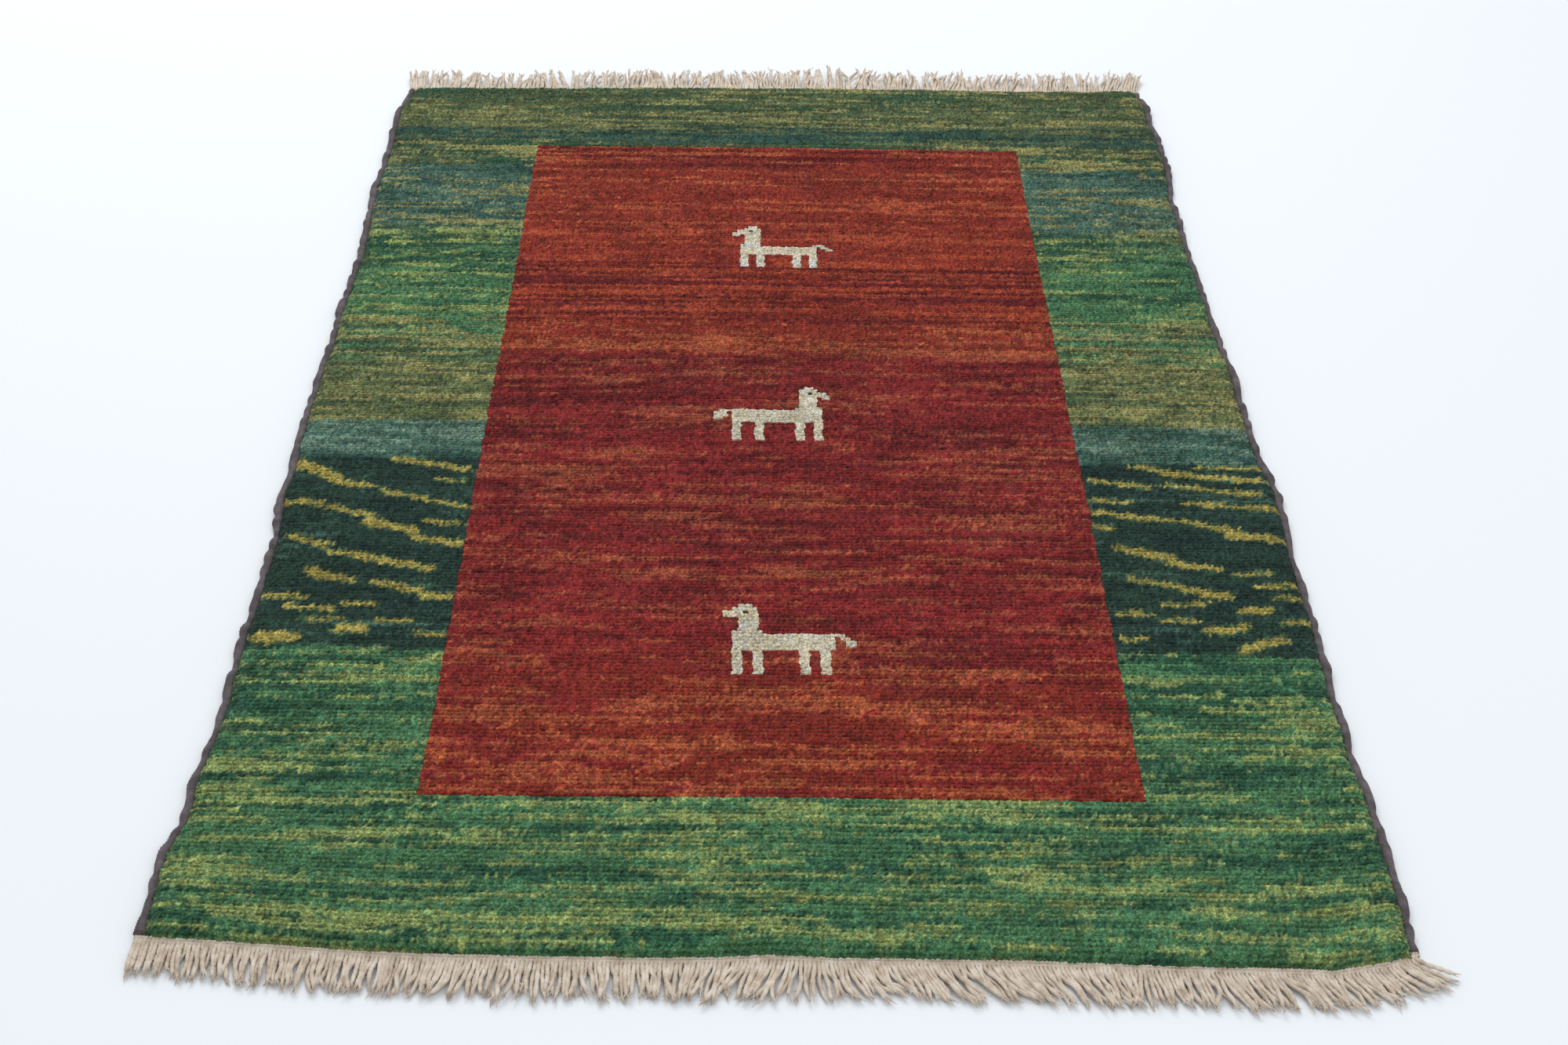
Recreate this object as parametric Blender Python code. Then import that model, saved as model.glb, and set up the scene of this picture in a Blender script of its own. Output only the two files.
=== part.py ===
# Hand-knotted wool rug lying flat: one pile cloth, an overcast cord along each long side,
# and at each end a twined band from which the warp ends hang as a fringe.
# Metres, +Z up. X runs across the rug and Y along it, the front fringe at -Y.

import math
import random

import bmesh
import bpy

# Pile cloth
PILE_TOP = 0.0135          # floor to pile tips, foundation included
WALL_HEIGHT = 0.0075       # upright part of the rug's edge, below the rounded rim
RIM_WIDTH = 0.0100         # width over which the pile rounds over at the rim
SWELL_HEIGHT = 0.0008      # slow rise and fall of the pile's top
SWELLS = (                 # (waves per metre across, waves per metre along, phase)
    (1.3, 0.7, 0.4),
    (-0.9, 1.9, 2.1),
    (2.3, -1.1, 4.0),
)
CORNER_RADIUS = 0.008
CELLS_ACROSS = 22
CELLS_ALONG = 58
RIM_LINES = (0.0, 0.0030, 0.0075, 0.0160)   # grid lines at these distances from every edge

# Side cords
CORD_WIDTH = 0.0090
CORD_HEIGHT = 0.0085
CORD_LUMP = 0.0011         # how far the overcast cord thins between its lumps
CORD_LUMP_LENGTH = 0.094
CORD_FLAT = math.tan(math.radians(22.5))    # half a side of an octagon of unit half-width

# End bands and fringe
BAND_WIDTH = 0.0070
BAND_PROFILE = (           # (share of the band's width, height): floor, outer face, ridge, inner face
    (0.00, 0.0),
    (1.00, 0.0),
    (1.00, 0.0036),
    (0.62, 0.0052),
    (0.00, 0.0046),
)
BAND_OUTER_FACE = 1        # side of the profile that the locks grow from
BAND_INSET = 0.0010        # the band stops this far inside the cord's outer edge
LOCKS = 96                 # locks of warp ends on each end of the rug
LOCK_PARTING = 0.0014      # space between the roots of neighbouring locks
TIP_PARTING = 0.0012       # space between neighbouring locks further out
LOCK_STEPS = (             # (share of a lock's length, share of its lean, height of its top)
    (0.34, 0.72, 0.0034),
    (0.70, 0.92, 0.0031),
    (1.00, 1.00, 0.0022),
)
TIP_WIDTH_SHARE = 0.80
RAGGED_LENGTH = 0.10       # random part of a lock's length
RAGGED_LEAN = 3.0          # random part of a lock's lean, degrees
FRINGE_SEED = 17

GAP = 0.0003               # clearance between neighbouring pieces

# Outer line of the rug's long sides: y, left x, right x
SIDE_LINE = (
    (-0.760, -0.499, 0.500),
    (-0.720, -0.500, 0.502),
    (-0.680, -0.502, 0.504),
    (-0.650, -0.497, 0.502),
    (-0.620, -0.491, 0.502),
    (-0.585, -0.494, 0.502),
    (-0.520, -0.487, 0.499),
    (-0.440, -0.489, 0.500),
    (-0.330, -0.487, 0.503),
    (-0.270, -0.487, 0.502),
    (-0.225, -0.488, 0.505),
    (-0.185, -0.493, 0.507),
    (-0.140, -0.491, 0.506),
    (-0.080, -0.492, 0.500),
    (-0.020, -0.493, 0.500),
    (0.080, -0.491, 0.501),
    (0.110, -0.489, 0.499),
    (0.150, -0.490, 0.496),
    (0.230, -0.489, 0.496),
    (0.300, -0.487, 0.494),
    (0.400, -0.491, 0.494),
    (0.475, -0.494, 0.495),
    (0.535, -0.491, 0.501),
    (0.615, -0.492, 0.500),
    (0.670, -0.494, 0.497),
    (0.705, -0.490, 0.498),
    (0.735, -0.484, 0.495),
    (0.760, -0.474, 0.488),
)
RIPPLES = (                # (height, wavelength, phase on the left, phase on the right)
    (0.0007, 0.071, 0.3, 2.2),
    (0.0005, 0.113, 1.9, 4.4),
)

# Where the pile stops at the two ends: x, front y, back y
END_LINE = (
    (-0.500, -0.749, 0.739),
    (-0.447, -0.752, 0.740),
    (-0.394, -0.757, 0.740),
    (-0.299, -0.764, 0.741),
    (-0.226, -0.766, 0.745),
    (-0.141, -0.767, 0.750),
    (-0.056, -0.767, 0.752),
    (-0.006, -0.763, 0.753),
    (0.036, -0.766, 0.753),
    (0.147, -0.767, 0.753),
    (0.223, -0.769, 0.752),
    (0.308, -0.772, 0.752),
    (0.380, -0.774, 0.753),
    (0.440, -0.775, 0.755),
    (0.467, -0.769, 0.757),
    (0.503, -0.753, 0.756),
)

# Fringe: x of the root, lean towards +X in degrees, length beyond the band
FRONT_FRINGE = (
    (-0.500, -3.0, 0.024),
    (-0.450, 0.0, 0.027),
    (-0.400, 4.0, 0.028),
    (-0.340, -3.0, 0.028),
    (-0.290, -4.0, 0.027),
    (-0.250, -18.0, 0.030),
    (-0.210, -8.0, 0.031),
    (-0.150, 2.0, 0.027),
    (-0.100, 4.0, 0.028),
    (-0.070, -9.0, 0.030),
    (-0.030, -23.0, 0.032),
    (0.005, -22.0, 0.035),
    (0.025, 0.0, 0.032),
    (0.050, 20.0, 0.030),
    (0.080, 34.0, 0.032),
    (0.140, 38.0, 0.036),
    (0.200, 34.0, 0.036),
    (0.250, 22.0, 0.033),
    (0.280, 7.0, 0.029),
    (0.310, 9.0, 0.028),
    (0.340, 26.0, 0.031),
    (0.380, 34.0, 0.034),
    (0.420, 30.0, 0.030),
    (0.450, 34.0, 0.030),
    (0.475, 42.0, 0.032),
    (0.490, 56.0, 0.032),
    (0.503, 74.0, 0.028),
)
BACK_FRINGE = (
    (-0.490, -10.0, 0.037),
    (-0.430, 8.0, 0.040),
    (-0.380, -6.0, 0.034),
    (-0.330, 10.0, 0.037),
    (-0.285, -14.0, 0.048),
    (-0.255, -4.0, 0.038),
    (-0.215, 10.0, 0.044),
    (-0.150, -8.0, 0.040),
    (-0.090, 7.0, 0.037),
    (-0.030, -5.0, 0.040),
    (0.030, 4.0, 0.041),
    (0.085, -6.0, 0.052),
    (0.130, 8.0, 0.041),
    (0.190, -4.0, 0.040),
    (0.240, 14.0, 0.044),
    (0.300, 6.0, 0.040),
    (0.350, 16.0, 0.041),
    (0.400, 0.0, 0.040),
    (0.440, 13.0, 0.042),
    (0.490, 15.0, 0.046),
)

WOOL_PILE = (0.050, 0.180, 0.090, 1.0)
OVERCAST_WOOL = (0.060, 0.045, 0.048, 1.0)
WARP_WOOL = (0.560, 0.450, 0.340, 1.0)


def clear_scene():
    for thing in list(bpy.data.objects):
        bpy.data.objects.remove(thing, do_unlink=True)


def smooth_row(table, position):
    """Values of a table at a position in its first column, on a smooth curve through its rows."""
    keys = [row[0] for row in table]
    last = len(table) - 1
    below = max([i for i, key in enumerate(keys) if key <= position], default=0)
    below = min(below, last - 1)
    share = (position - keys[below]) / (keys[below + 1] - keys[below])
    share = min(max(share, 0.0), 1.0)
    values = []
    for column in range(1, len(table[0])):

        def slope(i):
            before = max(i - 1, 0)
            after = min(i + 1, last)
            return (table[after][column] - table[before][column]) / (keys[after] - keys[before])

        span = keys[below + 1] - keys[below]
        start = table[below][column]
        end = table[below + 1][column]
        square = share * share
        cube = square * share
        values.append(
            (2 * cube - 3 * square + 1) * start
            + (cube - 2 * square + share) * span * slope(below)
            + (3 * square - 2 * cube) * end
            + (cube - square) * span * slope(below + 1)
        )
    return values


def ripple(y, side):
    """Short waves of the long sides, dying out towards the corners."""
    calm = min(1.0, (0.74 - abs(y)) / 0.06)
    wave = 0.0
    for height, wavelength, left_phase, right_phase in RIPPLES:
        phase = left_phase if side < 0 else right_phase
        wave += height * math.sin(2.0 * math.pi * y / wavelength + phase)
    return wave * max(calm, 0.0)


def outer_x(y, side):
    left, right = smooth_row(SIDE_LINE, y)
    return (left if side < 0 else right) + ripple(y, side)


def end_y(x, side):
    front, back = smooth_row(END_LINE, x)
    return front if side < 0 else back


def grid_lines(cells, span):
    """Shares of a span: the rim lines at both edges and even cells between them."""
    rim = [line / span for line in RIM_LINES]
    first = rim[-1]
    inner = [first + (1.0 - 2.0 * first) * i / cells for i in range(1, cells)]
    return rim + inner + [1.0 - share for share in reversed(rim)]


def along_point(x, share):
    return end_y(x, -1) + (end_y(x, 1) - end_y(x, -1)) * share


def pile_point(across, along):
    """A point of the pile cloth's plan from its shares of width and length."""
    trim = CORD_WIDTH + GAP
    x = 0.0
    y = 0.0
    for _ in range(6):
        y = along_point(x, along)
        left = outer_x(y, -1) + trim
        right = outer_x(y, 1) - trim
        x = left + (right - left) * across
    return x, y


def round_corner(x, y, from_side, from_end, side, end):
    """Draws a plan point near a corner in on to the corner's arc."""
    a = 1.0 - from_side / CORNER_RADIUS
    b = 1.0 - from_end / CORNER_RADIUS
    if a <= 0.0 or b <= 0.0:
        return x, y
    shrink = max(a, b) / math.hypot(a, b)
    inward = CORNER_RADIUS * (1.0 - shrink)
    return x - side * a * inward, y - end * b * inward


def pile_height(x, y, edge_distance):
    share = min(edge_distance / RIM_WIDTH, 1.0)
    roundness = math.sqrt(1.0 - (1.0 - share) ** 2)
    height = WALL_HEIGHT + (PILE_TOP - WALL_HEIGHT) * roundness
    for waves_across, waves_along, phase in SWELLS:
        turn = 2.0 * math.pi * (waves_across * x + waves_along * y) + phase
        height += SWELL_HEIGHT * math.sin(turn) * share / len(SWELLS)
    return height


def make_material(name, colour, roughness):
    material = bpy.data.materials.new(name)
    material.use_nodes = True
    shader = material.node_tree.nodes["Principled BSDF"]
    shader.inputs["Base Color"].default_value = colour
    shader.inputs["Roughness"].default_value = roughness
    shader.inputs["Metallic"].default_value = 0.0
    material.diffuse_color = colour
    return material


def add_object(name, bm, material, collection):
    bmesh.ops.recalc_face_normals(bm, faces=bm.faces[:])
    mesh = bpy.data.meshes.new(name)
    bm.to_mesh(mesh)
    bm.free()
    mesh.materials.append(material)
    piece = bpy.data.objects.new(name, mesh)
    collection.objects.link(piece)
    return piece


def loft(bm, rings):
    """Joins rings of points into one closed tube and returns its side faces, ring by ring."""
    loops = [[bm.verts.new(point) for point in ring] for ring in rings]
    count = len(loops[0])
    sides = []
    for near, far in zip(loops, loops[1:]):
        strip = []
        for i in range(count):
            after = (i + 1) % count
            strip.append(bm.faces.new((near[i], near[after], far[after], far[i])))
        sides.append(strip)
    bm.faces.new(loops[0])
    bm.faces.new(loops[-1])
    return sides


def pile_cloth(across_lines, along_lines, width, length):
    """A grid laid over the plan, raised to the pile's top and extruded down to the floor."""
    bm = bmesh.new()
    columns = len(across_lines) - 1
    rows = len(along_lines) - 1
    bmesh.ops.create_grid(bm, x_segments=columns, y_segments=rows, size=0.5)
    for vert in bm.verts:
        across = across_lines[round((vert.co.x + 0.5) * columns)]
        along = along_lines[round((vert.co.y + 0.5) * rows)]
        side = 1 if across > 0.5 else -1
        end = 1 if along > 0.5 else -1
        from_side = min(across, 1.0 - across) * width
        from_end = min(along, 1.0 - along) * length
        x, y = pile_point(across, along)
        x, y = round_corner(x, y, from_side, from_end, side, end)
        vert.co = (x, y, pile_height(x, y, min(from_side, from_end)))
    lower = bmesh.ops.extrude_face_region(bm, geom=bm.faces[:])["geom"]
    for vert in (item for item in lower if isinstance(item, bmesh.types.BMVert)):
        vert.co.z = 0.0
    underside = [face for face in bm.faces if all(vert.co.z < GAP for vert in face.verts)]
    bmesh.ops.dissolve_faces(bm, faces=underside)
    return bm


def side_cord(side, along_lines):
    """An eight-sided cord with a flat bottom, thinning and thickening along its length."""
    bm = bmesh.new()
    corners = (
        (-1.0, -CORD_FLAT), (-CORD_FLAT, -1.0), (CORD_FLAT, -1.0), (1.0, -CORD_FLAT),
        (1.0, CORD_FLAT), (CORD_FLAT, 1.0), (-CORD_FLAT, 1.0), (-1.0, CORD_FLAT),
    )
    rings = []
    for along in along_lines:
        inner_x, y = pile_point(0.0 if side < 0 else 1.0, along)
        inner_x += side * GAP
        turn = 2.0 * math.pi * y / CORD_LUMP_LENGTH + side
        thinning = CORD_LUMP * (0.5 + 0.5 * math.sin(turn))
        half_width = (CORD_WIDTH - thinning) / 2.0
        half_height = (CORD_HEIGHT - thinning) / 2.0
        centre_x = inner_x + side * half_width
        ring = []
        for out, up in corners:
            x = centre_x + out * half_width
            ring.append((x, along_point(x, along), half_height * (1.0 + up)))
        rings.append(ring)
    loft(bm, rings)
    return bm


def lock_centres(roots, table, end, rng):
    """Centre points of every lock at each step of its length, none crossing its neighbour."""
    locks = []
    for x, y in roots:
        lean, length = smooth_row(table, x)
        lean = math.radians(lean + rng.uniform(-RAGGED_LEAN, RAGGED_LEAN))
        length *= 1.0 + rng.uniform(-RAGGED_LENGTH, RAGGED_LENGTH)
        points = [(x, y, 0.0)]
        for length_share, lean_share, _ in LOCK_STEPS:
            angle = lean * lean_share
            reach = length * length_share
            points.append((x + reach * math.sin(angle), y + end * reach * math.cos(angle), angle))
        locks.append(points)
    return locks


def distance_to_line(point, line):
    """Plan distance from a lock's centre point to another lock's centre line."""
    px, py, _ = point
    best = 1.0
    for (ax, ay, _), (bx, by, _) in zip(line, line[1:]):
        dx = bx - ax
        dy = by - ay
        share = ((px - ax) * dx + (py - ay) * dy) / (dx * dx + dy * dy)
        share = min(max(share, 0.0), 1.0)
        best = min(best, math.hypot(px - ax - share * dx, py - ay - share * dy))
    return best


def room_between(lock, neighbours, step):
    """Least distance between a lock and its neighbours around one step of its length."""
    room = 1.0
    for other in neighbours:
        for near_step in range(step, len(lock)):
            room = min(room, distance_to_line(lock[near_step], other))
            room = min(room, distance_to_line(other[near_step], lock))
    return room


def lay_against(edge, stations, end):
    """The band's inner line at its stations, clear of every corner of the pile cloth's end."""
    line = []
    for x in stations:
        i = max([k for k in range(len(edge) - 1) if edge[k][0] <= x], default=0)
        (x0, y0), (x1, y1) = edge[i], edge[i + 1]
        line.append(y0 + (y1 - y0) * (x - x0) / (x1 - x0) + end * GAP)
    for i in range(len(stations) - 1):
        x0, x1 = stations[i], stations[i + 1]
        y0, y1 = line[i], line[i + 1]
        for corner_x, corner_y in edge:
            if x0 < corner_x < x1:
                chord_y = y0 + (y1 - y0) * (corner_x - x0) / (x1 - x0)
                push = max(0.0, end * (corner_y - chord_y) + GAP)
                line[i] += end * push
                line[i + 1] += end * push
    return line


def fringe(end, edge, table):
    """One end's twined band with its locks drawn out of the band's outer face."""
    rng = random.Random(FRINGE_SEED + end)
    left = outer_x(end_y(-0.5, end), -1) + BAND_INSET
    right = outer_x(end_y(0.5, end), 1) - BAND_INSET
    pitch = (right - left + LOCK_PARTING) / LOCKS
    stations = []
    for i in range(LOCKS):
        start = left + i * pitch
        stations += [start, start + pitch - LOCK_PARTING]
    rings = []
    for x, inner_y in zip(stations, lay_against(edge, stations, end)):
        rings.append([(x, inner_y + end * BAND_WIDTH * share, z) for share, z in BAND_PROFILE])
    bm = bmesh.new()
    sides = loft(bm, rings)
    cells = [strip[BAND_OUTER_FACE] for strip in sides[::2]]
    roots = [cell.calc_center_median() for cell in cells]
    locks = lock_centres([(root.x, root.y) for root in roots], table, end, rng)
    for i, (cell, points) in enumerate(zip(cells, locks)):
        neighbours = [locks[j] for j in (i - 1, i + 1) if 0 <= j < LOCKS]
        face = cell
        for step, (_, _, top) in enumerate(LOCK_STEPS, start=1):
            x, y, angle = points[step]
            room = room_between(points, neighbours, step)
            widest = (pitch - LOCK_PARTING) * math.cos(angle)
            if step == len(LOCK_STEPS):
                widest *= TIP_WIDTH_SHARE
            half = 0.5 * min(widest, room - TIP_PARTING)
            middle = face.calc_center_median()
            face = bmesh.ops.extrude_discrete_faces(bm, faces=[face])["faces"][0]
            for vert in face.verts:
                side = 1.0 if vert.co.x > middle.x else -1.0
                height = top if vert.co.z > GAP else 0.0
                vert.co.x = x + side * half * math.cos(angle)
                vert.co.y = y - end * side * half * math.sin(angle)
                vert.co.z = height
    return bm


def stand_on_origin(pieces):
    """Places all pieces so that the middle of the rug's footprint is the origin."""
    xs = [vert.co.x for piece in pieces for vert in piece.data.vertices]
    ys = [vert.co.y for piece in pieces for vert in piece.data.vertices]
    for piece in pieces:
        piece.location.x = -(min(xs) + max(xs)) / 2.0
        piece.location.y = -(min(ys) + max(ys)) / 2.0


def build():
    clear_scene()
    rug = bpy.data.collections.new("gabbeh_rug")
    bpy.context.scene.collection.children.link(rug)
    pile_wool = make_material("pile_wool", WOOL_PILE, 0.95)
    cord_wool = make_material("cord_wool", OVERCAST_WOOL, 0.90)
    fringe_wool = make_material("fringe_wool", WARP_WOOL, 0.90)

    width = pile_point(1.0, 0.5)[0] - pile_point(0.0, 0.5)[0]
    length = pile_point(0.5, 1.0)[1] - pile_point(0.5, 0.0)[1]
    across_lines = grid_lines(CELLS_ACROSS, width)
    along_lines = grid_lines(CELLS_ALONG, length)

    pieces = [
        add_object("pile_rug", pile_cloth(across_lines, along_lines, width, length), pile_wool, rug)
    ]
    for name, side in (("side_cord_left", -1), ("side_cord_right", 1)):
        pieces.append(add_object(name, side_cord(side, along_lines), cord_wool, rug))
    for name, end, table in (("fringe_front", -1, FRONT_FRINGE), ("fringe_back", 1, BACK_FRINGE)):
        edge = [pile_point(across, 0.0 if end < 0 else 1.0) for across in across_lines]
        pieces.append(add_object(name, fringe(end, edge, table), fringe_wool, rug))
    stand_on_origin(pieces)
    for piece in pieces:
        piece.data.shade_smooth()
        piece.data.set_sharp_from_angle(angle=math.radians(50.0))


build()
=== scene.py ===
import math

import bpy
import numpy as np
from mathutils import Matrix, Vector
from mathutils.bvhtree import BVHTree


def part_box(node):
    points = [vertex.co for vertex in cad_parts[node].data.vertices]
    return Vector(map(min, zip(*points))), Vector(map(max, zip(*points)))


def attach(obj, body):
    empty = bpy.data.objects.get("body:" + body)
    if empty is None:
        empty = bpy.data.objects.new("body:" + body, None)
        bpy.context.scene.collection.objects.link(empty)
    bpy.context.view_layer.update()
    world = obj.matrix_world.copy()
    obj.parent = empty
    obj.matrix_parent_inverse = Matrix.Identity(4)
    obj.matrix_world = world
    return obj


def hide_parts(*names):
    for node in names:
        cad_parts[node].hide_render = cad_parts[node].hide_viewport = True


# A hand-knotted gabbeh rug lying flat: wool pile, overcast side cords and a warp fringe at both ends.
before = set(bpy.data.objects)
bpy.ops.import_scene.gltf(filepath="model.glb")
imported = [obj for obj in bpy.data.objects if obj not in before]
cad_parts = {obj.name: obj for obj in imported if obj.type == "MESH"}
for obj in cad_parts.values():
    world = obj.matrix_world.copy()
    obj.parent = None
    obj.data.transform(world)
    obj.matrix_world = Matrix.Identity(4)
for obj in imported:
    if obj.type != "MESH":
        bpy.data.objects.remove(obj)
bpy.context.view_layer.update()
print("frame loaded")

mm = 0.001
rng = np.random.default_rng(41)


# Camera, at the photo's viewing angle
photoView = {
    "lensMm": 49.5,
    "sensorMm": 36.0,
    "place": (-0.0351, -1.8999, 1.2711),   # metres, above and in front of the rug
    "pitchDeg": 36.813,    # downwards
    "yawDeg": 1.102,       # to the right
    "rollDeg": 1.251,
}


def makeCamera(view):
    pitch, yaw, roll = (math.radians(view[key]) for key in ("pitchDeg", "yawDeg", "rollDeg"))
    ahead = Vector((math.sin(yaw) * math.cos(pitch), math.cos(yaw) * math.cos(pitch), -math.sin(pitch)))
    right = Vector((math.cos(yaw), -math.sin(yaw), 0.0))
    upward = right.cross(ahead)
    across = right * math.cos(roll) + upward * math.sin(roll)
    top = upward * math.cos(roll) - right * math.sin(roll)
    lens = bpy.data.cameras.new("photoCamera")
    lens.lens = view["lensMm"]
    lens.sensor_width = view["sensorMm"]
    camera = bpy.data.objects.new("photoCamera", lens)
    turn = Matrix((across, top, -ahead)).transposed().to_4x4()
    camera.matrix_world = Matrix.Translation(view["place"]) @ turn
    bpy.context.collection.objects.link(camera)
    bpy.context.scene.camera = camera


makeCamera(photoView)


# Floor and soft studio light
studio = {
    "floorSize": 60.0,
    "floorHex": "e0e4e7",
    "skyHex": "f9fbff",
    "skyStrength": 0.78,
    "lamps": (             # (name, place, size, watts): a broad lamp behind and above, a weak one in front
        ("backLamp", (-0.9, 2.6, 3.4), 2.6, 95.0),
        ("frontLamp", (1.4, -2.4, 3.0), 3.0, 32.0),
    ),
}


def linearColour(hexText):
    parts = [int(hexText[i:i + 2], 16) / 255.0 for i in (0, 2, 4)]
    return [p / 12.92 if p <= 0.04045 else ((p + 0.055) / 1.055) ** 2.4 for p in parts] + [1.0]


def addNode(tree, kind, settings=None, links=None):
    # settings are the node's own values, links are socket: value or socket to read from
    node = tree.nodes.new(kind)
    for key, value in (settings or {}).items():
        setattr(node, key, value)
    for key, value in (links or {}).items():
        if isinstance(value, bpy.types.NodeSocket):
            tree.links.new(value, node.inputs[key])
        else:
            node.inputs[key].default_value = value
    return node


def mapRange(tree, value, low, high, toLow, toHigh):
    return addNode(tree, "ShaderNodeMapRange", links={
        "Value": value, "From Min": low, "From Max": high, "To Min": toLow, "To Max": toHigh})


def finishMaterial(tree, inputs):
    shader = addNode(tree, "ShaderNodeBsdfPrincipled", links={"Metallic": 0.0, **inputs})
    addNode(tree, "ShaderNodeOutputMaterial", links={"Surface": shader.outputs[0]})


def fillRamp(ramp, stops):
    ramp.interpolation = "LINEAR"
    while len(ramp.elements) < len(stops):
        ramp.elements.new(1.0)
    for element, (position, colour) in zip(ramp.elements, stops):
        element.position = position
        element.color = colour


def newMaterial(name):
    material = bpy.data.materials.new(name)
    material.use_nodes = True
    material.node_tree.nodes.clear()
    return material


def makeStudio(s):
    bpy.ops.mesh.primitive_plane_add(size=s["floorSize"], location=(0.0, 0.0, 0.0))
    floor = bpy.context.object
    floor.name = "paleFloor"
    paint = newMaterial("matteFloor")
    finishMaterial(paint.node_tree, {"Base Color": linearColour(s["floorHex"]), "Roughness": 0.85})
    floor.data.materials.append(paint)
    world = bpy.data.worlds.new("softSky")
    bpy.context.scene.world = world
    world.use_nodes = True
    sky = world.node_tree.nodes["Background"]
    sky.inputs["Color"].default_value = linearColour(s["skyHex"])
    sky.inputs["Strength"].default_value = s["skyStrength"]
    for name, place, size, watts in s["lamps"]:
        lamp = bpy.data.lights.new(name, "AREA")
        lamp.size = size
        lamp.energy = watts
        lampObject = bpy.data.objects.new(name, lamp)
        lampObject.location = place
        lampObject.rotation_euler = (-Vector(place)).to_track_quat("-Z", "Y").to_euler()
        bpy.context.collection.objects.link(lampObject)
    scene = bpy.context.scene
    scene.view_settings.view_transform = "Standard"
    scene.view_settings.look = "None"


makeStudio(studio)
print("camera, floor and light made")


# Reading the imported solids: where the cloth's edges, the cords and the end bands lie
def solidTree(name):
    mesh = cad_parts[name].data
    corners = [v.co.copy() for v in mesh.vertices]
    return BVHTree.FromPolygons(corners, [tuple(p.vertices) for p in mesh.polygons])


def hit(tree, start, direction):
    return tree.ray_cast(Vector(start), Vector(direction))[0]


def edgeLine(tree, along, stations, z, side):
    # the solid's edge met from outside: along "x" gives y at each x, along "y" gives x at each y
    found = []
    for station in stations:
        if along == "y":
            place = hit(tree, (side * 2.0, station, z), (-side, 0.0, 0.0))
            found.append(None if place is None else place.x)
        else:
            place = hit(tree, (station, side * 2.0, z), (0.0, -side, 0.0))
            found.append(None if place is None else place.y)
    known = [i for i, value in enumerate(found) if value is not None]
    return np.interp(range(len(found)), known, [found[i] for i in known])


clothTree = solidTree("pile_rug")
clothLow, clothHigh = (Vector(c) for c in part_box("pile_rug"))
cornerRoom = 9 * mm        # the cloth's corners are rounded, so its edges are read between them
edgeHeight = 2 * mm        # off the floor, where they are read


def clothEdges():
    # stations and places of the four edges; each side runs as far as its cord does
    edges = {}
    for name, node, side in (("left", "side_cord_left", -1), ("right", "side_cord_right", 1)):
        low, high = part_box(node)
        stations = np.linspace(low[1] + cornerRoom, high[1] - cornerRoom, 500)
        edges[name] = (stations, edgeLine(clothTree, "y", stations, edgeHeight, side))
    for name, end, side in (("front", 0, -1), ("back", -1, 1)):
        left, right = edges["left"][1][end], edges["right"][1][end]
        stations = np.linspace(left + cornerRoom, right - cornerRoom, 360)
        edges[name] = (stations, edgeLine(clothTree, "x", stations, edgeHeight, side))
    return edges


edges = clothEdges()


def edgeAt(name, value):
    return np.interp(value, *edges[name])


def buildMesh(name, points, faces, material, smooth=True):
    mesh = bpy.data.meshes.new(name)
    mesh.from_pydata(np.asarray(points).tolist(), [], faces)
    mesh.update()
    if smooth:
        mesh.shade_smooth()
    mesh.materials.append(material)
    piece = bpy.data.objects.new(name, mesh)
    bpy.context.collection.objects.link(piece)
    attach(piece, "root")
    return piece


# Wool pile: one nub for each knot, in straight rows across the rug
pile = {
    "knotWide": 4.7 * mm,
    "knotLong": 4.75 * mm,
    "rimWide": 9.0 * mm,       # plan width over which the pile rolls down at the rim
    "rimArc": 14.0 * mm,       # length of pile surface over that width
    "rimFoot": 3.2 * mm,       # height where the pile meets cord and band
    "nubHeight": 2.8 * mm,
    "nubLean": 1.3 * mm,       # nubs lean towards the front end
    "nubShift": 0.95 * mm,     # random sideways shift of a nub
    "rowShift": 1.0 * mm,      # random sideways shift of a row
    "waveReach": 0.09,         # how far in from the edge the rows follow its waves
    "topRoom": (20 * mm, 32 * mm),    # kept from the cloth's box, across and along, where its top is read
    "meanLevel": 0.55,         # share of a nub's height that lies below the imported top
    "rowGap": (0.20, 0.18, 0.14),     # level between rows, its swing, and what a knot's middle adds
    "columnLevel": 0.70,       # level between two knots of a row
    "middleLevel": 0.90,       # level in a knot's middle
    "levelSwings": (0.32, 0.22, 0.16),    # random level of a yarn end, a clump and a patch
    "field": {"left": -0.3115, "right": 0.2975, "front": -0.603, "back": 0.571},
}


def arcLine(span, pitch, p):
    # places on the rolled section: distance from the edge and roll, 0 at the foot and 1 on top
    total = span - 2 * p["rimWide"] + 2 * p["rimArc"]
    knots = int(round(total / pitch))
    arc = np.linspace(0.0, total, 2 * knots + 1)
    near = np.minimum(arc, total - arc)
    turn = np.clip(near / p["rimArc"], 0.0, 1.0) * math.pi / 2
    inset = np.where(near < p["rimArc"], p["rimWide"] * (1 - np.cos(turn)), p["rimWide"] + near - p["rimArc"])
    place = np.where(arc < total / 2, inset, span - inset)
    return knots, place, np.sin(turn)


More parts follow.
